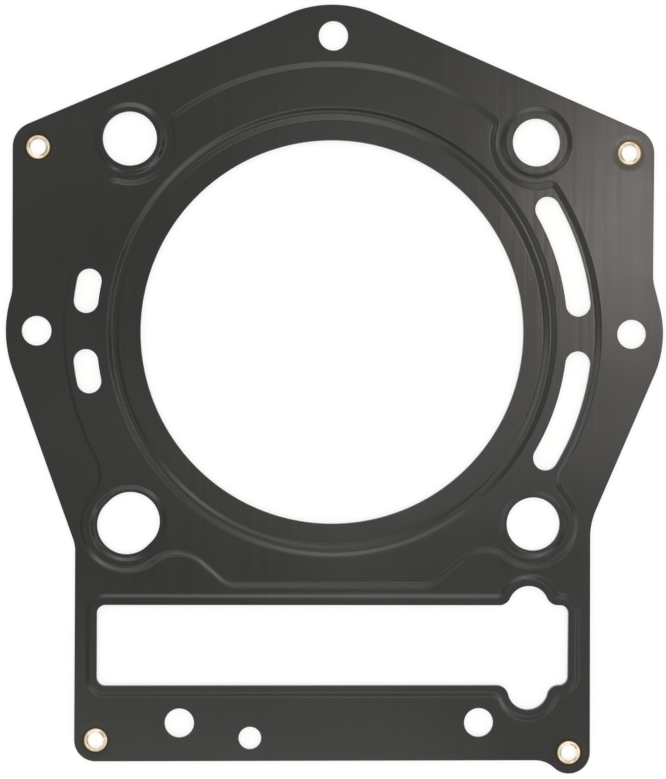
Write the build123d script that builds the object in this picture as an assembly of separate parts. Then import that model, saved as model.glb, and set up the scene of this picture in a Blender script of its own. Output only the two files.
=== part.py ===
from build123d import *
import os
from math import asin, atan2, cos, hypot, pi, radians, sin, sqrt

# Head gasket of a liquid-cooled single-cylinder engine, in millimetres.
# Three steel sheets lie on each other: a plain carrier between two embossed sheets,
# which mirror each other. Four rolled eyelets hold them together at the corners.
# The origin is on the cylinder's axis, halfway through the gasket. +Z points to the
# cylinder head, +Y away from the chain tunnel.

# Sheets and embossing
sheet_thickness = 0.25
carrier_thickness = 0.40
step_height = 0.25
step_width = 1.2

# Cylinder bore and the full bead round it
bore_radius = 46.5
bead_radius = 53.05
bead_floor_width = 0.9
bead_mouth_width = 3.2

# Cylinder studs, at the corners of a rectangle about the bore
stud_spacing_x = 98.5
stud_spacing_y = 92.9
dowel_hole_radius = 6.5
stud_hole_radius = 5.8
oil_hole_radius = 7.1
oil_hole_stretch = 1.3
oil_hole_angle = 45.0
stud_rim_radius = 8.2
dowel_pad_radius = 7.7
oil_pad_width = 1.25

# Bolt holes and the drain hole
bolt_hole_radius = 3.55
top_bolt_x = -0.3
top_bolt_y = 71.7
left_bolt_x = -71.5
right_bolt_x = 73.0
bottom_bolt_spacing = 73.0
bottom_bolt_middle_x = -0.25
bottom_bolt_y = -95.1
drain_hole_radius = 2.75
drain_hole_x = -19.6
drain_hole_y = -98.8

# Coolant slots, bent round the bore
slot_first_angle = 7.0
left_slot_radius = 60.1
left_slot_width = 5.9
left_slot_sweep = 4.6
right_slot_radius = 60.3
right_slot_width = 6.2
right_slot_sweep = 23.1

# Chain tunnel, with two round notches across from each other
tunnel_left = -56.8
tunnel_right = 58.1
tunnel_top = -66.3
tunnel_bottom = -86.0
tunnel_corner_radius = 2.1
notch_x = 48.3
notch_radius = 5.0
notch_top_drop = 0.3
notch_bottom_drop = 1.0
notch_fillet = 2.8
tunnel_rim_width = 2.1
rim_fillet = 1.6

# Coolant jacket: the raised field inside the half bead
jacket_radius = 65.1
jacket_corner_radius = 1.8
upper_relief_radius = 10.7
left_waist_radius = 8.0
right_waist_radius = 5.0
dowel_lobe_radius = 10.5
oil_lobe_width = 3.8
left_hump_x = -37.5
left_hump_radius = 9.4
right_hump_x = 37.0
right_hump_radius = 9.9
jacket_bottom_y = -61.65
jacket_bottom_corner = 2.5
hump_straight = 6.3

# Outer edge, a belt round the bolt lobes and the eyelet corners
top_lobe_radius = 26.9
top_lobe_edge = 7.5
left_lobe_radius = 27.9
left_lobe_edge = 7.4
right_lobe_radius = 25.4
right_lobe_edge = 7.7
upper_eyelet_edge = 6.1
lower_eyelet_edge = 5.2
shoulder_radius = 11.2
right_shoulder_straight = 5.4
left_waist_x = -62.1
left_waist_y = -53.3
left_waist_bend = 9.0
right_waist_x = 63.3
right_waist_y = -49.5
right_waist_bend = 16.6
foot_bend = 7.0
shortest_straight = 0.2

# Rolled eyelets
upper_left_eyelet = (-71.25, 44.2)
upper_right_eyelet = (72.0, 44.05)
lower_left_eyelet = (-57.0, -99.2)
lower_right_eyelet = (58.5, -102.5)
eyelet_bore_radius = 1.7
eyelet_wall = 0.3
eyelet_clearance = 0.05
eyelet_flange_radius = 2.85
eyelet_flange_thickness = 0.2
eyelet_mouth_radius = 0.4
eyelet_edge_fillet = 0.08

# Worked out from the sizes above
low_level = carrier_thickness / 2 + sheet_thickness
high_level = low_level + step_height
stud_x = stud_spacing_x / 2
stud_y = stud_spacing_y / 2
main_disc = (0.0, 0.0, jacket_radius)
cut_depth = 4 * high_level


# Outlines are belts round discs. A disc is (x, y, radius): the edge passes
# anticlockwise with a positive radius inside it, or a negative one outside it.


def heading(first, second):
    """Direction of the straight stretch of edge from one disc to the next."""
    run_x = second[0] - first[0]
    run_y = second[1] - first[1]
    return atan2(run_y, run_x) - asin((second[2] - first[2]) / hypot(run_x, run_y))


def touch(disc, direction):
    """Point of the disc's edge where the belt runs in this direction."""
    return (disc[0] + disc[2] * sin(direction), disc[1] - disc[2] * cos(direction))


def belt(discs, grow=0.0):
    """Face inside the belt round the discs, moved outwards by grow."""
    sized = [(x, y, radius + grow) for x, y, radius in discs]
    following = sized[1:] + sized[:1]
    leaving = [heading(disc, after) for disc, after in zip(sized, following)]
    arriving = leaving[-1:] + leaving[:-1]
    edges = []
    for disc, after, start, end in zip(sized, following, arriving, leaving):
        if disc[2] > 0:
            turn = (end - start) % (2 * pi)
        else:
            turn = -((start - end) % (2 * pi))
        edges.append(ThreePointArc(touch(disc, start), touch(disc, start + turn / 2), touch(disc, end)))
        edges.append(Line(touch(disc, end), touch(after, end)))
    return make_face(edges)


def reach(disc, radius, straight=shortest_straight):
    """Distance from the disc's centre to that of a neighbour, with a straight between them."""
    return sqrt((radius - disc[2]) ** 2 + straight ** 2)


def between(first, second, radius, side):
    """Disc that joins two others, to the left (1) or the right (-1) of the line between them."""
    run_x = second[0] - first[0]
    run_y = second[1] - first[1]
    run = hypot(run_x, run_y)
    from_first = reach(first, radius)
    along = (from_first ** 2 - reach(second, radius) ** 2 + run ** 2) / (2 * run)
    across = side * sqrt(from_first ** 2 - along ** 2)
    x = first[0] + (along * run_x - across * run_y) / run
    y = first[1] + (along * run_y + across * run_x) / run
    return (x, y, radius)


def beside_x(disc, x, radius, side, straight=shortest_straight):
    """Disc centred on a line of constant x, above (1) or below (-1) the disc that it joins."""
    rise = sqrt(reach(disc, radius, straight) ** 2 - (x - disc[0]) ** 2)
    return (x, disc[1] + side * rise, radius)


def beside_y(disc, y, radius, side, straight=shortest_straight):
    """Disc centred on a line of constant y, right (1) or left (-1) of the disc that it joins."""
    run = sqrt(reach(disc, radius, straight) ** 2 - (y - disc[1]) ** 2)
    return (disc[0] + side * run, y, radius)


def ring_point(radius, angle):
    """Point on a circle about the bore."""
    return (radius * cos(radians(angle)), radius * sin(radians(angle)))


def oil_hole_discs(radius):
    """Two ends of the stretched oil hole, or of a field round it."""
    step_x = oil_hole_stretch / 2 * cos(radians(oil_hole_angle))
    step_y = oil_hole_stretch / 2 * sin(radians(oil_hole_angle))
    upper_end = (step_x - stud_x, step_y - stud_y, radius)
    lower_end = (-step_x - stud_x, -step_y - stud_y, radius)
    return upper_end, lower_end


# Outer edge


def outline_discs():
    """Discs of the gasket's outer edge."""
    top_lobe = (top_bolt_x, top_bolt_y + top_lobe_edge - top_lobe_radius, top_lobe_radius)
    left_lobe = (left_bolt_x - left_lobe_edge + left_lobe_radius, 0.0, left_lobe_radius)
    right_lobe = (right_bolt_x + right_lobe_edge - right_lobe_radius, 0.0, right_lobe_radius)
    left_shoulder_x = upper_left_eyelet[0] - upper_eyelet_edge - shoulder_radius
    right_shoulder_x = upper_right_eyelet[0] + upper_eyelet_edge + shoulder_radius
    foot = (*lower_right_eyelet, lower_eyelet_edge)
    foot_y = lower_left_eyelet[1] - lower_eyelet_edge - foot_bend
    return [
        top_lobe,
        (*upper_left_eyelet, upper_eyelet_edge),
        beside_x(left_lobe, left_shoulder_x, -shoulder_radius, 1),
        left_lobe,
        (left_waist_x - left_waist_bend, left_waist_y, -left_waist_bend),
        (*lower_left_eyelet, lower_eyelet_edge),
        beside_y(foot, foot_y, -foot_bend, -1),
        foot,
        (right_waist_x + right_waist_bend, right_waist_y, -right_waist_bend),
        right_lobe,
        beside_x(right_lobe, right_shoulder_x, -shoulder_radius, 1, right_shoulder_straight),
        (*upper_right_eyelet, upper_eyelet_edge),
    ]


# Chain tunnel


def tunnel_discs(margin, fillet):
    """Discs of the tunnel's edge, or of an edge that runs round it at a margin."""
    inset = tunnel_corner_radius
    corner = inset + margin
    upper_notch = (notch_x, tunnel_top - notch_top_drop, notch_radius + margin)
    lower_notch = (notch_x, tunnel_bottom - notch_bottom_drop, notch_radius + margin)
    over = tunnel_top + margin + fillet
    under = tunnel_bottom - margin - fillet
    return [
        (tunnel_left + inset, tunnel_top - inset, corner),
        (tunnel_left + inset, tunnel_bottom + inset, corner),
        beside_y(lower_notch, under, -fillet, -1),
        lower_notch,
        beside_y(lower_notch, under, -fillet, 1),
        (tunnel_right - inset, tunnel_bottom + inset, corner),
        (tunnel_right - inset, tunnel_top - inset, corner),
        beside_y(upper_notch, over, -fillet, 1),
        upper_notch,
        beside_y(upper_notch, over, -fillet, -1),
    ]


# Holes through all three sheets


def slot(pitch_radius, width, first_angle, sweep):
    """Coolant slot with round ends, bent round the bore."""
    outer = pitch_radius + width / 2
    inner = pitch_radius - width / 2
    last_angle = first_angle + sweep
    middle_angle = first_angle + sweep / 2
    end = width / 2
    first_tip = ring_point(pitch_radius, first_angle)
    last_tip = ring_point(pitch_radius, last_angle)
    arcs = [
        ThreePointArc(
            ring_point(outer, first_angle), ring_point(outer, middle_angle), ring_point(outer, last_angle)
        ),
        ThreePointArc(
            ring_point(inner, first_angle), ring_point(inner, middle_angle), ring_point(inner, last_angle)
        ),
        CenterArc(last_tip, end, last_angle, 180),
        CenterArc(first_tip, end, first_angle + 180, 180),
    ]
    return make_face(arcs)


def slots():
    left_first = 180 - slot_first_angle - left_slot_sweep
    right = slot(right_slot_radius, right_slot_width, slot_first_angle, right_slot_sweep)
    left = slot(left_slot_radius, left_slot_width, left_first, left_slot_sweep)
    return [face for upper in (right, left) for face in (upper, mirror(upper, about=Plane.XZ))]


def hole(x, y, radius):
    return Pos(x, y) * Circle(radius)


def openings():
    """Faces of every hole that all the sheets share."""
    faces = [
        hole(0, 0, bore_radius),
        hole(-stud_x, stud_y, dowel_hole_radius),
        hole(stud_x, -stud_y, dowel_hole_radius),
        hole(stud_x, stud_y, stud_hole_radius),
        belt(oil_hole_discs(oil_hole_radius)),
        hole(top_bolt_x, top_bolt_y, bolt_hole_radius),
        hole(left_bolt_x, 0, bolt_hole_radius),
        hole(right_bolt_x, 0, bolt_hole_radius),
        hole(bottom_bolt_middle_x - bottom_bolt_spacing / 2, bottom_bolt_y, bolt_hole_radius),
        hole(bottom_bolt_middle_x + bottom_bolt_spacing / 2, bottom_bolt_y, bolt_hole_radius),
        hole(drain_hole_x, drain_hole_y, drain_hole_radius),
        belt(tunnel_discs(0.0, notch_fillet)),
    ]
    return faces + slots()


def eyelet_places():
    return {
        "upper_left": upper_left_eyelet,
        "upper_right": upper_right_eyelet,
        "lower_left": lower_left_eyelet,
        "lower_right": lower_right_eyelet,
    }


def blank():
    """Flat face of a sheet, with every hole punched."""
    rivet_radius = eyelet_bore_radius + eyelet_wall + eyelet_clearance
    rivet_holes = [hole(x, y, rivet_radius) for x, y in eyelet_places().values()]
    face = belt(outline_discs())
    for opening in openings() + rivet_holes:
        face -= opening
    return face


# Embossing: raised fields over the sheet's low level, each with a sloping edge


def jacket_discs():
    upper_left_relief = (-stud_x, stud_y, -upper_relief_radius)
    upper_right_relief = (stud_x, stud_y, -upper_relief_radius)
    oil_lobe = oil_hole_discs(oil_hole_radius + oil_lobe_width)[1]
    dowel_lobe = (stud_x, -stud_y, dowel_lobe_radius)
    left_hump = beside_x(oil_lobe, left_hump_x, -left_hump_radius, -1)
    right_hump = beside_x(dowel_lobe, right_hump_x, -right_hump_radius, -1)
    corner_y = jacket_bottom_y + jacket_bottom_corner
    return [
        main_disc,
        between(main_disc, upper_left_relief, jacket_corner_radius, -1),
        upper_left_relief,
        between(upper_left_relief, main_disc, jacket_corner_radius, -1),
        main_disc,
        between(main_disc, oil_lobe, -left_waist_radius, -1),
        oil_lobe,
        left_hump,
        beside_y(left_hump, corner_y, jacket_bottom_corner, 1, hump_straight),
        beside_y(right_hump, corner_y, jacket_bottom_corner, -1, hump_straight),
        right_hump,
        dowel_lobe,
        between(dowel_lobe, main_disc, -right_waist_radius, -1),
        main_disc,
        between(main_disc, upper_right_relief, jacket_corner_radius, -1),
        upper_right_relief,
        between(upper_right_relief, main_disc, jacket_corner_radius, -1),
    ]


def field(discs, foot, crown):
    """Raised field whose edge slopes in from the foot line to the crown line."""
    lower = Pos(0, 0, low_level) * belt(discs, foot)
    upper = Pos(0, 0, high_level) * belt(discs, crown)
    return loft([lower, upper], ruled=True)


def round_field(x, y, foot_radius, crown_radius):
    middle = (low_level + high_level) / 2
    return Pos(x, y, middle) * Cone(foot_radius, crown_radius, step_height)


def bead_groove():
    """Groove of the full bead, from the high level down to the low level."""
    floor = bead_floor_width / 2
    mouth = bead_mouth_width / 2
    profile = Polyline(
        (bead_radius - mouth, 0, high_level),
        (bead_radius - floor, 0, low_level),
        (bead_radius + floor, 0, low_level),
        (bead_radius + mouth, 0, high_level),
        close=True,
    )
    return revolve(make_face(profile), Axis.Z)


def raised_fields():
    """All that stands over the low level of an embossed sheet."""
    half = step_width / 2
    jacket = field(jacket_discs(), half, -half)
    jacket -= round_field(stud_x, -stud_y, dowel_pad_radius - half, dowel_pad_radius + half)
    jacket -= field(oil_hole_discs(oil_hole_radius + oil_pad_width), -half, half)
    jacket -= bead_groove()
    tunnel_rim = field(tunnel_discs(tunnel_rim_width + half, rim_fillet), 0.0, -step_width)
    stud_rims = [
        round_field(side * stud_x, stud_y, stud_rim_radius + half, stud_rim_radius - half)
        for side in (-1, 1)
    ]
    return jacket + tunnel_rim + stud_rims


# Sheets


def sheet_blank(thickness, level):
    """Flat sheet with its upper face at the level."""
    return extrude(Pos(0, 0, level - thickness) * blank(), thickness)


def embossed_sheet():
    """Upper sheet: its under face repeats its upper face, one thickness down."""
    fields = raised_fields()
    sheet = sheet_blank(sheet_thickness, low_level) + fields
    sheet -= Pos(0, 0, -sheet_thickness) * fields
    for opening in openings():
        sheet -= extrude(opening, cut_depth)
    return sheet


# Eyelets


def eyelet():
    """Rolled eyelet: a short tube with a flange on each face of the gasket."""
    outer = eyelet_bore_radius + eyelet_wall
    top = low_level + eyelet_flange_thickness
    profile = Polyline(
        (eyelet_bore_radius, 0, -top),
        (eyelet_flange_radius, 0, -top),
        (eyelet_flange_radius, 0, -low_level),
        (outer, 0, -low_level),
        (outer, 0, low_level),
        (eyelet_flange_radius, 0, low_level),
        (eyelet_flange_radius, 0, top),
        (eyelet_bore_radius, 0, top),
        close=True,
    )
    spool = revolve(make_face(profile), Axis.Z)
    middle = top - eyelet_flange_thickness / 2
    circles = spool.edges().filter_by(GeomType.CIRCLE)
    rims = [edge for edge in circles if edge.radius > outer and abs(edge.arc_center.Z) > middle]
    spool = fillet(rims, eyelet_edge_fillet)
    circles = spool.edges().filter_by(GeomType.CIRCLE)
    mouths = [edge for edge in circles if edge.radius < outer]
    return fillet(mouths, eyelet_mouth_radius)


upper_layer = embossed_sheet()
parts = {
    "upper_layer": upper_layer,
    "carrier_layer": sheet_blank(carrier_thickness, carrier_thickness / 2),
    "lower_layer": mirror(upper_layer, about=Plane.XY),
}
for place, (x, y) in eyelet_places().items():
    parts["eyelet_" + place] = Pos(x, y) * eyelet()

os.makedirs("parts", exist_ok=True)
for name, part in parts.items():
    export_step(part, "parts/" + name + ".step")
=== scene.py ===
from math import asin, atan2, ceil, cos, degrees, exp, hypot, pi, radians, sin, sqrt

import bmesh
import bpy
from mathutils import Matrix, Vector


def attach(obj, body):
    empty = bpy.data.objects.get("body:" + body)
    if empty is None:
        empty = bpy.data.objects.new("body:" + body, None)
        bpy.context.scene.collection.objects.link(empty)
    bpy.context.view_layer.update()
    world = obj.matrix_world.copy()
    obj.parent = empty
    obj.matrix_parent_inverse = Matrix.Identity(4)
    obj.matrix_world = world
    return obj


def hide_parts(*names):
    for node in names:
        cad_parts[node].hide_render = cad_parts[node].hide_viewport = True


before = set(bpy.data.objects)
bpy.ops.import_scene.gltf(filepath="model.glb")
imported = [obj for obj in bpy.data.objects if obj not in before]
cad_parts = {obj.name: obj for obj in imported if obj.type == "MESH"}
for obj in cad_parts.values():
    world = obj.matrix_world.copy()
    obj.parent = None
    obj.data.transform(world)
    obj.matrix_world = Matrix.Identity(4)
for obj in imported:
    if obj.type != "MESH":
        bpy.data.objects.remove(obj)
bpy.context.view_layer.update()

# A multi-layer steel head gasket, lying flat. Shapes are worked out in millimetres and
# scaled to metres at the end of each piece.
MM = 0.001

# Thickness of an embossed sheet, the two levels of the upper one's top face, and the
# level that the gasket lies on
SHEET = 0.25
LOW = 0.45
HIGH = 0.70
FLOOR = -0.70

# Slopes. Each one is even up to the first distance from its middle, then bends level: the
# higher the second number, the shorter the bend. A flat strip borders it.
EDGE_SLOPE = (0.59, 5.0)
JACKET_SLOPE = (0.66, 3.2)
INNER_GROOVE = (0.74, 5.0)
OUTER_GROOVE = (0.58, 6.0)
BORDER = 0.12

# Where the loops lie across half a slope, the power of e at which it counts as level, and
# the slices that each stretch between two loops is summed in
SLOPE_LOOPS = (0.30, 0.52, 0.63, 0.72, 0.80, 0.89, 1.00)
SLOPE_END = 5.0
SLOPE_SLICES = 9

# Bevel on the punched edges, which are all corners above this angle. Corners above the
# other angles are shaded sharp.
BEVEL = 0.035
PUNCHED = 60
SHARP_ON_SHEET = 35
SHARP_ON_EYELET = 60

# Longest steps along slopes, punched edges and the bore's bead. An arc also has a least
# number of steps and a widest one, in degrees.
SLOPE_STEP = 0.6
EDGE_STEP = 0.5
BEAD_STEP = 0.8
FEWEST_STEPS = 4
WIDEST_STEP = 6

# Shortest straight run between two arcs, and the gap below which their ends are joined
STRAIGHT = 0.2
TOUCHING = 0.01

# Cylinder and studs, and the middle lines of the slopes round them
BORE = 46.5
BEAD = (52.10, 54.00)
STUD_X = 49.25
STUD_Y = 46.45
DOWEL = 6.5
STUD = 5.8
OIL = 7.1
OIL_STEP = 1.3 / 2 * sqrt(0.5)
RIM = 8.15
DOWEL_PAD = 7.75
OIL_PAD = OIL + 1.25

# Slope round the chain tunnel: how far outside its edge it lies. Then the radii of the
# bends beside the notches, of the edge and of the slope.
TUNNEL_RIM = 2.22
TUNNEL_EDGE_BEND = 2.8
TUNNEL_RIM_BEND = 2.2

# Screw holes, drain and eyelets. The sheet dips a little under each eyelet's flange.
SCREW = 3.55
SCREWS = ((-0.3, 71.7), (-71.5, 0.0), (73.0, 0.0), (-36.75, -95.1), (36.25, -95.1))
DRAIN = (-19.6, -98.8, 2.75)
EYELETS = {
    "upper_left": (-71.25, 44.2),
    "upper_right": (72.0, 44.05),
    "lower_left": (-57.0, -99.2),
    "lower_right": (58.5, -102.5),
}
RIVET_HOLE = 2.05
DISH = 0.015
DISH_SLOPE = 1.75
DISH_WIDTH = 2.6

# Coolant slots: first angle and sweep about the bore, middle radius and half width
SLOTS = (
    (7.0, 23.1, 60.3, 3.1),
    (-30.1, 23.1, 60.3, 3.1),
    (168.4, 4.6, 60.1, 2.95),
    (187.0, 4.6, 60.1, 2.95),
)


# Paths. A path is a list of arcs (x, y, radius, heading, turn), anticlockwise round the
# shape. A disc (x, y, radius) with a negative radius pushes the path in from outside.


def heading(first, second):
    """Direction of the belt's straight run from one disc to the next."""
    run_x = second[0] - first[0]
    run_y = second[1] - first[1]
    return atan2(run_y, run_x) - asin((second[2] - first[2]) / hypot(run_x, run_y))


def belt(discs):
    """Arcs of a belt that runs round the discs."""
    following = discs[1:] + discs[:1]
    leaving = [heading(disc, after) for disc, after in zip(discs, following)]
    arriving = leaving[-1:] + leaving[:-1]
    arcs = []
    for disc, start, end in zip(discs, arriving, leaving):
        turn = (end - start) % (2 * pi) if disc[2] > 0 else -((start - end) % (2 * pi))
        arcs.append((*disc, start, turn))
    return arcs


def reach(disc, radius, straight=STRAIGHT):
    """Distance between the middles of two discs that the belt joins by a straight run."""
    return sqrt((radius - disc[2]) ** 2 + straight ** 2)


def between(first, second, radius, side):
    """Disc that joins two others, left (1) or right (-1) of the line between them."""
    run_x = second[0] - first[0]
    run_y = second[1] - first[1]
    run = hypot(run_x, run_y)
    from_first = reach(first, radius)
    along = (from_first ** 2 - reach(second, radius) ** 2 + run ** 2) / (2 * run)
    across = side * sqrt(from_first ** 2 - along ** 2)
    x = first[0] + (along * run_x - across * run_y) / run
    y = first[1] + (along * run_y + across * run_x) / run
    return (x, y, radius)


def beside_x(disc, x, radius, side, straight=STRAIGHT):
    """Disc at a given x that the belt joins to another, above (1) or below (-1) that one."""
    away = sqrt(reach(disc, radius, straight) ** 2 - (x - disc[0]) ** 2)
    return (x, disc[1] + side * away, radius)


def beside_y(disc, y, radius, side, straight=STRAIGHT):
    """Disc at a given y that the belt joins to another, right (1) or left (-1) of it."""
    away = sqrt(reach(disc, radius, straight) ** 2 - (y - disc[1]) ** 2)
    return (disc[0] + side * away, y, radius)


def outline_path():
    top_lobe = (-0.3, 52.3, 26.9)
    left_lobe = (-51.0, 0.0, 27.9)
    right_lobe = (55.3, 0.0, 25.4)
    foot = (*EYELETS["lower_right"], 5.2)
    return belt([
        top_lobe,
        (*EYELETS["upper_left"], 6.1),
        beside_x(left_lobe, -88.55, -11.2, 1),
        left_lobe,
        (-71.1, -53.3, -9.0),
        (*EYELETS["lower_left"], 5.2),
        beside_y(foot, -111.4, -7.0, -1),
        foot,
        (79.9, -49.5, -16.6),
        right_lobe,
        beside_x(right_lobe, 89.3, -11.2, 1, 5.4),
        (*EYELETS["upper_right"], 6.1),
    ])


def tunnel_path(margin, bend):
    """Chain tunnel with its two notches, or a line at some margin round it."""
    left, right, top, bottom, corner = -56.8, 58.1, -66.3, -86.0, 2.1
    round_corner = corner + margin
    upper = (48.3, -66.6, 5.0 + margin)
    lower = (48.3, -87.0, 5.0 + margin)
    over = top + margin + bend
    under = bottom - margin - bend
    return belt([
        (left + corner, top - corner, round_corner),
        (left + corner, bottom + corner, round_corner),
        beside_y(lower, under, -bend, -1),
        lower,
        beside_y(lower, under, -bend, 1),
        (right - corner, bottom + corner, round_corner),
        (right - corner, top - corner, round_corner),
        beside_y(upper, over, -bend, 1),
        upper,
        beside_y(upper, over, -bend, -1),
    ])


def oil_path(radius):
    """Oil passage round a stud: two half rounds, drawn apart along a diagonal."""
    return belt([
        (OIL_STEP - STUD_X, OIL_STEP - STUD_Y, radius),
        (-OIL_STEP - STUD_X, -OIL_STEP - STUD_Y, radius),
    ])


def jacket_path():
    """Middle line of the half bead round the coolant jacket."""
    main = (0.0, 0.0, 64.85)
    left_relief = (-STUD_X, STUD_Y, -10.65)
    right_relief = (STUD_X, STUD_Y, -10.65)
    oil_lobe = (-OIL_STEP - STUD_X, -OIL_STEP - STUD_Y, OIL + 3.8)
    dowel_lobe = (STUD_X, -STUD_Y, 10.45)
    left_hump = beside_x(oil_lobe, -37.5, -9.4, -1)
    right_hump = beside_x(dowel_lobe, 37.6, -8.0, -1)
    return belt([
        main,
        between(main, left_relief, 1.8, -1),
        left_relief,
        between(left_relief, main, 1.8, -1),
        main,
        between(main, oil_lobe, -8.0, -1),
        oil_lobe,
        left_hump,
        beside_y(left_hump, -54.95, 6.5, 1, 5.65),
        beside_y(right_hump, -57.15, 4.3, -1, 9.35),
        right_hump,
        dowel_lobe,
        between(dowel_lobe, main, -5.0, -1),
        main,
        between(main, right_relief, 1.8, -1),
        right_relief,
        between(right_relief, main, 1.8, -1),
    ])


def slot_path(first, sweep, middle, half):
    """Curved slot with round ends."""
    start, turn = radians(first), radians(sweep)
    end = start + turn
    tips = [(middle * cos(angle), middle * sin(angle)) for angle in (start, end)]
    return [
        (0.0, 0.0, middle + half, start + pi / 2, turn),
        (*tips[1], half, end + pi / 2, pi),
        (0.0, 0.0, half - middle, end + 3 * pi / 2, -turn),
        (*tips[0], half, start + 3 * pi / 2, pi),
    ]


def circle_path(x, y, radius):
    return [(x, y, radius, 0.0, 2 * pi)]


# Rings. A ring maps each vertex of a closed loop to its place on the path and the
# direction that points away from the enclosed side.


def new_ring(bm, path, offset, level, spacing):
    """Loop of vertices along the path, at an offset and a level."""
    ring, ends = {}, []
    whole = len(path) == 1
    for x, y, radius, start, turn in path:
        by_length = ceil(abs(turn) * abs(radius) / spacing)
        by_angle = ceil(degrees(abs(turn)) / WIDEST_STEP)
        steps = max(FEWEST_STEPS, by_length, by_angle)
        drawn = radius + offset
        first = bm.verts.new((x + drawn * sin(start), y + drawn * -cos(start), level))
        before = set(bm.verts)
        bmesh.ops.spin(
            bm, geom=[first], cent=(x, y, level), axis=(0, 0, 1), angle=turn,
            steps=steps, use_merge=whole,
        )
        arc = [first] + [vert for vert in bm.verts if vert not in before]
        for vert in arc:
            side = Vector((vert.co.x - x, vert.co.y - y)) / drawn
            ring[vert] = (x + radius * side.x, y + radius * side.y, side.x, side.y)
        ends.append((first, arc))
    if not whole:
        for (first, arc), (following, _) in zip(ends, ends[1:] + ends[:1]):
            last = next(v for v in arc if len(v.link_edges) == 1 and v is not first)
            if (last.co - following.co).length > TOUCHING:
                bm.edges.new((last, following))
            else:
                del ring[last]
                bmesh.ops.weld_verts(bm, targetmap={last: following})
    return ring


def edges_of(ring):
    found = {
        edge for vert in ring for edge in vert.link_edges if edge.other_vert(vert) in ring
    }
    return list(found)


def next_ring(bm, ring, offset, level):
    """Band of faces from the ring to a new one at another offset and level."""
    made = bmesh.ops.extrude_edge_only(bm, edges=edges_of(ring))
    fresh = [item for item in made["geom"] if isinstance(item, bmesh.types.BMVert)]
    following = {}
    for vert in fresh:
        joined = [edge.other_vert(vert) for edge in vert.link_edges]
        place = ring[next(other for other in joined if other in ring)]
        x, y, side_x, side_y = place
        vert.co = (x + side_x * offset, y + side_y * offset, level)
        following[vert] = place
    return following


def bend_profile(centre, slope, start, end):
    """Offsets and levels across a slope that bends level at both ends."""
    even, tightness = slope
    half = even * SLOPE_END ** (1 / tightness)
    shares, rise, before = [], 0.0, 0.0
    for share in SLOPE_LOOPS:
        place = half * share
        width = place - before
        slices = [before + width * (k + 0.5) / SLOPE_SLICES for k in range(SLOPE_SLICES)]
        rise += sum(exp(-((x / even) ** tightness)) for x in slices) * width / SLOPE_SLICES
        shares.append((place, rise))
        before = place
    shares = [(-place, -share) for place, share in reversed(shares)] + shares
    middle, up = (start + end) / 2, (end - start) / 2
    return [(centre + place, middle + up * share / rise) for place, share in shares]


def bands(bm, path, profile, spacing=SLOPE_STEP):
    """Strip of faces along the path. Returns its first and last loop."""
    part = bmesh.new()
    first = last = new_ring(part, path, *profile[0], spacing)
    for offset, level in profile[1:]:
        last = next_ring(part, last, offset, level)
    part.verts.index_update()
    places = [[vert.index for vert in ring] for ring in (first, last)]
    mesh = bpy.data.meshes.new("strip")
    part.to_mesh(mesh)
    part.free()
    start = len(bm.verts)
    bm.from_mesh(mesh)
    bpy.data.meshes.remove(mesh)
    bm.verts.ensure_lookup_table()
    return [{bm.verts[start + place] for place in ring} for ring in places]


def step_bead(bm, path, inner, outer, slope=EDGE_SLOPE):
    """Half bead: a slope between two levels, with a flat border on each side."""
    profile = bend_profile(0.0, slope, inner, outer)
    lip = profile[-1][0] + BORDER
    return bands(bm, path, [(-lip, inner)] + profile + [(lip, outer)])


def punched_border(bm, path, level, side=1):
    """Flat border along the edge of a hole (1) or of the outline (-1). Returns the loop
    that faces the sheet."""
    return bands(bm, path, [(0.0, level), (side * BORDER, level)], EDGE_STEP)[1]


def fill(bm, *rings):
    """Flat face inside the first loops and outside the others. It is filled slightly
    turned, so that no two corners lie level with each other."""
    edges = [edge for ring in rings for edge in edges_of(ring)]
    verts = [vert for ring in rings for vert in ring]
    turned = Matrix.Rotation(0.4137, 3, "Z")
    bmesh.ops.rotate(bm, verts=verts, cent=(0, 0, 0), matrix=turned)
    bmesh.ops.triangle_fill(bm, edges=edges, use_beauty=True, normal=(0, 0, 1))
    bmesh.ops.rotate(bm, verts=verts, cent=(0, 0, 0), matrix=turned.transposed())


# Sheets


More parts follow.
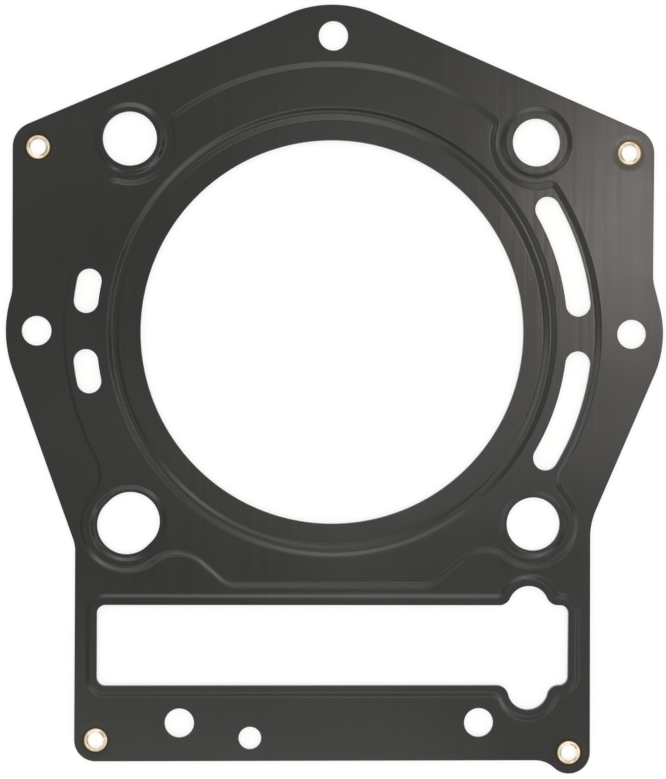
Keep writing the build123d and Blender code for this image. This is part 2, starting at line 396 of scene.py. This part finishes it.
def embossed_face(bm):
    """Top face of the upper sheet, with every bead and hole."""
    low_region = [punched_border(bm, outline_path(), LOW, -1)]
    low_region += [punched_border(bm, circle_path(x, y, SCREW), LOW) for x, y in SCREWS]
    low_region += [punched_border(bm, circle_path(*DRAIN), LOW)]
    dish = bend_profile(DISH_SLOPE, EDGE_SLOPE, LOW - DISH, LOW)
    dish = [(0.0, LOW - DISH)] + dish + [(DISH_WIDTH, LOW)]
    for x, y in EYELETS.values():
        low_region.append(bands(bm, circle_path(x, y, RIVET_HOLE), dish, EDGE_STEP)[1])

    for x, radius in ((-STUD_X, DOWEL), (STUD_X, STUD)):
        crown, foot = step_bead(bm, circle_path(x, STUD_Y, RIM), HIGH, LOW)
        fill(bm, crown, punched_border(bm, circle_path(x, STUD_Y, radius), HIGH))
        low_region.append(foot)

    crown, foot = step_bead(bm, tunnel_path(TUNNEL_RIM, TUNNEL_RIM_BEND), HIGH, LOW)
    fill(bm, crown, punched_border(bm, tunnel_path(0.0, TUNNEL_EDGE_BEND), HIGH))
    low_region.append(foot)

    crown, foot = step_bead(bm, jacket_path(), HIGH, LOW, JACKET_SLOPE)
    low_region.append(foot)
    fill(bm, *low_region)
    high_region = [crown]

    pad, crown = step_bead(bm, circle_path(STUD_X, -STUD_Y, DOWEL_PAD), LOW, HIGH)
    fill(bm, pad, punched_border(bm, circle_path(STUD_X, -STUD_Y, DOWEL), LOW))
    high_region.append(crown)

    pad, crown = step_bead(bm, oil_path(OIL_PAD), LOW, HIGH)
    fill(bm, pad, punched_border(bm, oil_path(OIL), LOW))
    high_region.append(crown)

    down = bend_profile(0.0, INNER_GROOVE, HIGH, LOW)
    up = bend_profile(BEAD[1] - BEAD[0], OUTER_GROOVE, LOW, HIGH)
    groove = [(down[0][0] - BORDER, HIGH)] + down + up + [(up[-1][0] + BORDER, HIGH)]
    land, mouth = bands(bm, circle_path(0, 0, BEAD[0]), groove, BEAD_STEP)
    fill(bm, land, punched_border(bm, circle_path(0, 0, BORE), HIGH))
    high_region.append(mouth)

    high_region += [punched_border(bm, slot_path(*slot), HIGH) for slot in SLOTS]
    fill(bm, *high_region)


def finish_mesh(bm, name, material, sharp):
    """Object from the mesh, in metres, shaded smooth but for the sharp corners."""
    bmesh.ops.scale(bm, vec=(MM, MM, MM), verts=bm.verts)
    mesh = bpy.data.meshes.new(name)
    bm.to_mesh(mesh)
    bm.free()
    for face in mesh.polygons:
        face.use_smooth = True
    mesh.set_sharp_from_angle(angle=radians(sharp))
    mesh.materials.append(material)
    piece = bpy.data.objects.new(name, mesh)
    bpy.context.scene.collection.objects.link(piece)
    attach(piece, "root")
    return piece


def embossed_sheet(name, material, flipped):
    """Sheet of even thickness, with its beads up, or down where it is flipped."""
    bm = bmesh.new()
    embossed_face(bm)
    made = bmesh.ops.extrude_face_region(bm, geom=bm.faces[:], use_keep_orig=True)
    under = [item for item in made["geom"] if isinstance(item, bmesh.types.BMVert)]
    bmesh.ops.translate(bm, vec=(0, 0, -SHEET), verts=under)
    if flipped:
        bmesh.ops.scale(bm, vec=(1, 1, -1), verts=bm.verts)
    bmesh.ops.recalc_face_normals(bm, faces=bm.faces)
    punched = radians(PUNCHED)
    corners = [e for e in bm.edges if e.is_manifold and e.calc_face_angle() > punched]
    bmesh.ops.bevel(
        bm, geom=corners, offset=BEVEL, affect="EDGES", segments=2, profile=0.5,
        material=-1, offset_type="OFFSET", clamp_overlap=True,
    )
    return finish_mesh(bm, name, material, SHARP_ON_SHEET)


# Eyelets

# Upper half of an eyelet's section, as radius and height: the tube, the lip, the groove,
# the flange and its rim, and the way back under the flange
SEAT = LOW - DISH
EYELET = (
    (1.70, 0.00), (1.70, 0.16), (1.71, 0.30), (1.74, 0.42), (1.79, 0.51),
    (1.86, 0.570), (1.93, 0.585), (1.99, 0.570), (2.04, 0.545),
    (2.09, 0.535), (2.15, 0.545), (2.24, 0.565), (2.36, 0.580),
    (2.50, 0.585), (2.63, 0.570), (2.74, 0.535), (2.82, 0.490),
    (2.85, SEAT + 0.025), (2.82, SEAT + 0.005), (2.74, SEAT),
    (2.30, SEAT), (2.00, SEAT), (2.00, 0.20),
)
EYELET_STEPS = 96

# Unevenness of the lip and the flange: its height, the level above which and the radius
# within which it lies, and its three waves (share, and how many of them go round)
RIPPLE = 0.012
RIPPLE_ABOVE = 0.45
RIPPLE_WITHIN = 2.75
RIPPLE_WAVES = ((0.5, 5), (0.3, 8), (0.4, 13))


def rolled_eyelet(name, x, y, material, turn):
    """Brass eyelet: a tube rolled over at both ends, with a faint groove between the lip
    and the flange."""
    profile = [(r, z) for r, z in EYELET] + [(r, -z) for r, z in reversed(EYELET[1:])]
    bm = bmesh.new()
    verts = [bm.verts.new((x + r, y, z)) for r, z in profile]
    edges = [bm.edges.new((a, b)) for a, b in zip(verts, verts[1:] + verts[:1])]
    bmesh.ops.spin(
        bm, geom=verts + edges, cent=(x, y, 0), axis=(0, 0, 1), angle=2 * pi,
        steps=EYELET_STEPS, use_merge=True,
    )
    starts = (0.0, 1.3, turn)
    for vert in bm.verts:
        angle = atan2(vert.co.y - y, vert.co.x - x) + turn
        radius = hypot(vert.co.x - x, vert.co.y - y)
        if abs(vert.co.z) > RIPPLE_ABOVE and radius < RIPPLE_WITHIN:
            ripple = sum(
                share * sin(count * angle + start)
                for (share, count), start in zip(RIPPLE_WAVES, starts)
            )
            vert.co.z += RIPPLE * ripple * (1 if vert.co.z > 0 else -1)
    bmesh.ops.recalc_face_normals(bm, faces=bm.faces)
    return finish_mesh(bm, name, material, SHARP_ON_EYELET)


# Materials


class Nodes:
    """Short calls to add and join shader nodes."""

    def __init__(self, tree):
        self.tree = tree

    def feed(self, node, inputs):
        """Link the inputs that come from a node's output, and set the others."""
        for key, value in inputs.items():
            if hasattr(value, "is_output"):
                self.tree.links.new(value, node.inputs[key])
            else:
                node.inputs[key].default_value = value

    def add(self, kind, inputs=None, **settings):
        node = self.tree.nodes.new(kind)
        for key, value in settings.items():
            setattr(node, key, value)
        self.feed(node, inputs or {})
        return node

    def group(self, tree, inputs):
        return self.add("ShaderNodeGroup", inputs, node_tree=tree).outputs

    def math(self, operation, first, second=0.0, clamp=False):
        inputs = {0: first, 1: second}
        node = self.add("ShaderNodeMath", inputs, operation=operation, use_clamp=clamp)
        return node.outputs[0]

    def spread(self, value, low, high, new_low, new_high):
        node = self.add("ShaderNodeMapRange", {
            "Value": value, "From Min": low, "From Max": high,
            "To Min": new_low, "To Max": new_high,
        })
        return node.outputs["Result"]

    def mix(self, factor, first, second):
        inputs = {0: factor, 6: first, 7: second}
        return self.add("ShaderNodeMix", inputs, data_type="RGBA").outputs[2]

    def noise(self, place, scale, detail, roughness):
        node = self.add("ShaderNodeTexNoise", {
            "Vector": place, "Scale": scale, "Detail": detail, "Roughness": roughness,
        })
        return node.outputs["Fac"]

    def bump(self, strength, distance, height, normal=None):
        node = self.add("ShaderNodeBump", {
            "Strength": strength, "Distance": distance, "Height": height,
        })
        if normal:
            self.feed(node, {"Normal": normal})
        return node.outputs[0]

    def place(self):
        return self.add("ShaderNodeTexCoord").outputs["Object"]


def new_material(name):
    material = bpy.data.materials.new(name)
    material.use_nodes = True
    nodes = Nodes(material.node_tree)
    nodes.tree.nodes.clear()
    shader = nodes.add("ShaderNodeBsdfPrincipled")
    nodes.add("ShaderNodeOutputMaterial", {0: shader.outputs[0]})
    return material, nodes, shader


def new_group(name, inputs, outputs, kind="NodeSocketFloat"):
    """Shader node group with one kind of input, and numbers as outputs."""
    group = bpy.data.node_groups.new(name, "ShaderNodeTree")
    for socket in inputs:
        group.interface.new_socket(socket, in_out="INPUT", socket_type=kind)
    for socket in outputs:
        group.interface.new_socket(socket, in_out="OUTPUT", socket_type="NodeSocketFloat")
    nodes = Nodes(group)
    return group, nodes, nodes.add("NodeGroupInput").outputs


def rolled_grain_group():
    """Fine streaks that rolling leaves along the sheet, and a fine speckle."""
    group, nodes, ends = new_group("rolled grain", ["Streak width"], ["Streak", "Speckle"])
    place = nodes.place()
    across = nodes.math("DIVIDE", 1.0, ends["Streak width"])
    along = 12.0
    scale = nodes.add("ShaderNodeCombineXYZ", {0: across, 1: along, 2: along}).outputs[0]
    drawn = nodes.add("ShaderNodeVectorMath", {0: place, 1: scale}, operation="MULTIPLY")
    streak = nodes.noise(drawn.outputs[0], scale=1.0, detail=4.0, roughness=0.6)
    speckle = nodes.noise(place, scale=5200.0, detail=2.0, roughness=0.6)
    nodes.add("NodeGroupOutput", {0: streak, 1: speckle})
    return group


def nearest_eyelet_group():
    """Distance in the sheet's plane to the nearest eyelet's middle, in millimetres."""
    group, nodes, ends = new_group(
        "nearest eyelet", ["Place"], ["Distance"], kind="NodeSocketVector"
    )
    inputs = {0: ends["Place"], 1: (1 / MM, 1 / MM, 0)}
    flat = nodes.add("ShaderNodeVectorMath", inputs, operation="MULTIPLY").outputs[0]
    nearest = 1000.0
    for x, y in EYELETS.values():
        inputs = {0: flat, 1: (x, y, 0)}
        away = nodes.add("ShaderNodeVectorMath", inputs, operation="DISTANCE")
        nearest = nodes.math("MINIMUM", away.outputs["Value"], nearest)
    nodes.add("NodeGroupOutput", {0: nearest})
    return group


def coated_steel(grain, near):
    """Sheet steel with a thin black elastomer coating. It is bare at the punched edges
    and has a brown ring of painted shade round each eyelet."""
    material, nodes, shader = new_material("black elastomer coating")
    black = (0.0036, 0.0036, 0.0032, 1)
    cloudy = (0.0052, 0.0052, 0.0046, 1)
    streaky = (0.0090, 0.0088, 0.0080, 1)
    bare = (0.10, 0.098, 0.092, 1)
    # Painted shade: brown of the ring round each eyelet
    shade_brown = (0.048, 0.030, 0.010, 1)
    place = nodes.place()
    streak, speckle = nodes.group(grain, {"Streak width": 0.0022})
    cloud = nodes.noise(place, scale=38.0, detail=3.0, roughness=0.55)
    tone = nodes.mix(nodes.spread(cloud, 0.3, 0.7, 0.0, 1.0), black, cloudy)
    tone = nodes.mix(nodes.spread(streak, 0.35, 0.65, 0.0, 0.20), tone, streaky)
    normal = nodes.add("ShaderNodeNewGeometry").outputs["Normal"]
    upright = nodes.add("ShaderNodeSeparateXYZ", {0: normal}).outputs[2]
    cut = nodes.spread(nodes.math("ABSOLUTE", upright), 0.75, 0.35, 0.0, 1.0)
    tone = nodes.mix(cut, tone, bare)
    # Painted shade: a brown ring round each eyelet, beside its flange. The same mask makes
    # the ring metallic.
    far = nodes.group(near, {"Place": place})["Distance"]
    tone_and_shade = nodes.spread(far, 2.95, 3.65, 1.0, 0.0)
    tone = nodes.mix(tone_and_shade, tone, shade_brown)
    rough = nodes.spread(cloud, 0.3, 0.7, 0.134, 0.154)
    rough = nodes.math("ADD", rough, nodes.spread(streak, 0.3, 0.7, -0.008, 0.010))
    height = nodes.math("MULTIPLY", streak, 0.5)
    height = nodes.math("ADD", height, nodes.math("MULTIPLY", speckle, 0.015))
    grained = nodes.bump(0.6, 0.00005, height)
    wave = nodes.noise(place, scale=55.0, detail=1.0, roughness=0.4)
    waved = nodes.bump(0.25, 0.0002, wave, grained)
    nodes.feed(shader, {
        "Base Color": tone, "Metallic": tone_and_shade, "Roughness": rough, "Normal": waved,
    })
    return material


def bare_steel(grain):
    material, nodes, shader = new_material("carrier steel")
    streak, speckle = nodes.group(grain, {"Streak width": 0.0012})
    tone = nodes.mix(streak, (0.26, 0.26, 0.26, 1), (0.38, 0.38, 0.37, 1))
    rough = nodes.spread(speckle, 0.3, 0.7, 0.38, 0.5)
    nodes.feed(shader, {"Base Color": tone, "Metallic": 0.9, "Roughness": rough})
    return material


def brass(near):
    """Pale brass, uneven in tone. The lip is painted near white as a highlight, the groove
    is darkened with painted shade and the flange's rim with brown painted shade."""
    material, nodes, shader = new_material("brass")
    warm = (0.74, 0.65, 0.56, 1)
    olive = (0.52, 0.49, 0.36, 1)
    # Painted highlight: near white on the lip
    painted_highlight = (0.98, 0.96, 0.90, 1)
    # Painted shade in the groove
    groove_shade = (0.25, 0.22, 0.14, 1)
    # Painted shade: brown at the flange's rim
    shade_brown = (0.26, 0.17, 0.07, 1)
    place = nodes.place()
    tone_and_shade = nodes.noise(place, scale=420.0, detail=2.0, roughness=0.5)
    fine = nodes.noise(place, scale=4200.0, detail=2.0, roughness=0.5)
    far = nodes.group(near, {"Place": place})["Distance"]
    # Painted highlight over the lip
    lip = nodes.spread(far, 1.82, 1.98, 1.0, 0.0)
    # Painted shade in the groove between lip and flange, made patchy by the tone noise
    past_lip = nodes.spread(far, 1.90, 2.02, 0.0, 1.0)
    before_flange = nodes.spread(far, 2.12, 2.32, 1.0, 0.0)
    groove = nodes.math("MULTIPLY", past_lip, before_flange)
    groove = nodes.math("MULTIPLY", groove, nodes.spread(tone_and_shade, 0.43, 0.60, 0.1, 1.0))
    # Painted shade darkening the flange's rim
    rim_shade = nodes.spread(far, 2.66, 2.80, 0.0, 0.9)
    tone = nodes.mix(nodes.spread(tone_and_shade, 0.42, 0.60, 0.0, 1.0), warm, olive)
    tone = nodes.mix(lip, tone, painted_highlight)
    tone = nodes.mix(groove, tone, groove_shade)
    tone = nodes.mix(rim_shade, tone, shade_brown)
    rough = nodes.spread(tone_and_shade, 0.3, 0.7, 0.28, 0.40)
    nodes.feed(shader, {
        "Base Color": tone, "Metallic": 1.0, "Roughness": rough,
        "Normal": nodes.bump(0.2, 0.00001, fine),
    })
    return material


grain = rolled_grain_group()
near = nearest_eyelet_group()
coating = coated_steel(grain, near)
carrier = bare_steel(grain)
gold = brass(near)

upper_sheet = embossed_sheet("upper_sheet", coating, False)
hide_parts("upper_layer")
lower_sheet = embossed_sheet("lower_sheet", coating, True)
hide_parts("lower_layer")

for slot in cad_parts["carrier_layer"].material_slots:
    slot.material = carrier

for number, (place, (x, y)) in enumerate(EYELETS.items()):
    rivet = rolled_eyelet("rolled_eyelet_" + place, x, y, gold, 1.7 * number)
    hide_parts("eyelet_" + place)


# Studio

# Half the floor's side, and how far below the gasket it lies, in metres
FLOOR_SIZE = 3.0
FLOOR_GAP = 0.00001


def white_floor():
    """Floor of pale paper. The camera and reflections see it glow, so that it looks white
    and its shadows are faint."""
    material = bpy.data.materials.new("white floor")
    material.use_nodes = True
    nodes = Nodes(material.node_tree)
    nodes.tree.nodes.clear()
    rays = nodes.add("ShaderNodeLightPath").outputs
    seen = nodes.math("MAXIMUM", rays["Is Camera Ray"], rays["Is Glossy Ray"])
    seen = nodes.math("MAXIMUM", seen, rays["Is Transmission Ray"])
    paper = nodes.add("ShaderNodeBsdfDiffuse", {"Color": (0.80, 0.80, 0.80, 1)}).outputs[0]
    pale = nodes.add("ShaderNodeBsdfDiffuse", {"Color": (0.30, 0.30, 0.30, 1)}).outputs[0]
    glow = nodes.add("ShaderNodeEmission", {"Color": (1, 1, 1, 1), "Strength": 0.72})
    lit = nodes.add("ShaderNodeAddShader", {0: pale, 1: glow.outputs[0]}).outputs[0]
    mixed = nodes.add("ShaderNodeMixShader", {0: seen, 1: paper, 2: lit}).outputs[0]
    nodes.add("ShaderNodeOutputMaterial", {0: mixed})
    bm = bmesh.new()
    bmesh.ops.create_grid(bm, x_segments=1, y_segments=1, size=FLOOR_SIZE)
    bmesh.ops.translate(bm, vec=(0, 0, FLOOR * MM - FLOOR_GAP), verts=bm.verts)
    mesh = bpy.data.meshes.new("floor")
    bm.to_mesh(mesh)
    bm.free()
    mesh.materials.append(material)
    floor = bpy.data.objects.new("floor", mesh)
    bpy.context.scene.collection.objects.link(floor)


# Level of the plain ceiling, the lowest level that a dark card leaves, and the least rise
# of a direction that counts. Then the soft cards, with the warm one first: centre, half
# size, and the level that each one adds.
ROOM = 0.863
DARKEST = 0.03
LEAST_RISE = 0.05
CARD = ("Centre east", "Centre north", "Half east", "Half north", "Level")
CARDS = (
    (0.185, 0.049, 0.040, 0.054, 10.50),
    (-0.031, 0.571, 0.295, 0.093, 2.20),
    (0.092, -0.274, 0.207, 0.046, 5.77),
    (-0.063, -0.467, 0.436, 0.130, 1.83),
    (0.217, -0.049, 0.311, 0.040, 2.64),
    (0.086, -0.153, 0.348, 0.243, -3.11),
    (0.526, -0.237, 0.089, 0.320, 1.43),
    (0.210, -0.173, 0.269, 0.088, 3.78),
    (-0.117, -0.171, 0.158, 0.080, 1.66),
    (0.053, -0.003, 0.041, 0.088, 2.72),
    (0.038, 0.352, 0.118, 0.041, 3.62),
    (0.393, -0.106, 0.057, 0.183, -1.62),
    (0.141, 0.221, 0.127, 0.074, -1.79),
    (-0.271, -0.378, 0.078, 0.070, 3.20),
    (0.248, 0.067, 0.040, 0.070, -4.30),
    (0.357, 0.086, 0.060, 0.107, 2.04),
    (0.211, 0.124, 0.040, 0.057, -4.06),
    (-0.122, 0.297, 0.082, 0.050, 1.81),
    (0.163, 0.374, 0.142, 0.082, -2.29),
    (-0.086, 0.024, 0.128, 0.141, 1.28),
    (0.183, -0.232, 0.069, 0.056, -3.19),
    (0.175, 0.317, 0.127, 0.256, 2.62),
    (0.060, 0.248, 0.080, 0.063, 1.13),
    (0.300, -0.267, 0.132, 0.063, 1.31),
    (-0.099, -0.332, 0.207, 0.063, -1.31),
    (-0.297, -0.084, 0.045, 0.157, 1.68),
)
ROOM_TINT = (1.0, 0.992, 0.95, 1)
WARM_TINT = (1.0, 0.915, 0.87, 1)


def card_group():
    """Soft card in the ceiling, placed by its run over rise to the east and north."""
    group, nodes, ends = new_group("ceiling card", ("East", "North") + CARD, ["Light"])
    away = 0.0
    for side in ("east", "north"):
        run = nodes.math("SUBTRACT", ends[side.capitalize()], ends["Centre " + side])
        share = nodes.math("DIVIDE", run, ends["Half " + side])
        away = nodes.math("ADD", nodes.math("MULTIPLY", share, share), away)
    fade = nodes.math("EXPONENT", nodes.math("MULTIPLY", away, -1.0))
    nodes.add("NodeGroupOutput", {0: nodes.math("MULTIPLY", fade, ends["Level"])})
    return group


def studio_world():
    """White to the camera. Reflections see a plain ceiling with lighter and darker cards."""
    world = bpy.data.worlds.new("studio")
    bpy.context.scene.world = world
    world.use_nodes = True
    nodes = Nodes(world.node_tree)
    nodes.tree.nodes.clear()
    rays = nodes.add("ShaderNodeLightPath").outputs
    direction = nodes.add("ShaderNodeTexCoord").outputs["Generated"]
    east, north, rise = nodes.add("ShaderNodeSeparateXYZ", {0: direction}).outputs
    rise = nodes.math("MAXIMUM", rise, LEAST_RISE)
    east, north = nodes.math("DIVIDE", east, rise), nodes.math("DIVIDE", north, rise)
    card = card_group()
    lights = [
        nodes.group(card, {"East": east, "North": north, **dict(zip(CARD, values))})["Light"]
        for values in CARDS
    ]
    room = ROOM
    for light in lights:
        room = nodes.math("ADD", light, room)
    room = nodes.math("MAXIMUM", room, DARKEST)
    seen = nodes.math("MAXIMUM", rays["Is Camera Ray"], rays["Is Transmission Ray"])
    inputs = {0: seen, 2: room, 3: 1.0}
    strength = nodes.add("ShaderNodeMix", inputs, data_type="FLOAT").outputs[0]
    warmth = nodes.math("DIVIDE", lights[0], room, clamp=True)
    colour = nodes.mix(warmth, ROOM_TINT, WARM_TINT)
    colour = nodes.mix(seen, colour, (1, 1, 1, 1))
    light = nodes.add("ShaderNodeBackground", {"Color": colour, "Strength": strength})
    nodes.add("ShaderNodeOutputWorld", {0: light.outputs[0]})


# Camera: sensor and lens in millimetres, place in metres, and where it looks
SENSOR = 36.0
LENS = 106.3
CAMERA_PLACE = (-0.02553, 0.00205, 0.55790)
CAMERA_LOOK = (0.04595, -0.02843, -0.99854)
CAMERA_UP = (-0.00494, 0.99958, -0.02869)


def copy_stand_camera():
    """Long lens a little left of the gasket's middle, as the photograph is taken."""
    data = bpy.data.cameras.new("camera")
    data.sensor_width = SENSOR
    data.lens = LENS
    camera = bpy.data.objects.new("camera", data)
    look = Vector(CAMERA_LOOK).normalized()
    up = Vector(CAMERA_UP).normalized()
    right = look.cross(up).normalized()
    turned = Matrix((right, up, -look)).transposed().to_4x4()
    camera.matrix_world = Matrix.Translation(CAMERA_PLACE) @ turned
    bpy.context.scene.collection.objects.link(camera)
    bpy.context.scene.camera = camera


white_floor()
studio_world()
copy_stand_camera()

view = bpy.context.scene.view_settings
view.view_transform = "Standard"
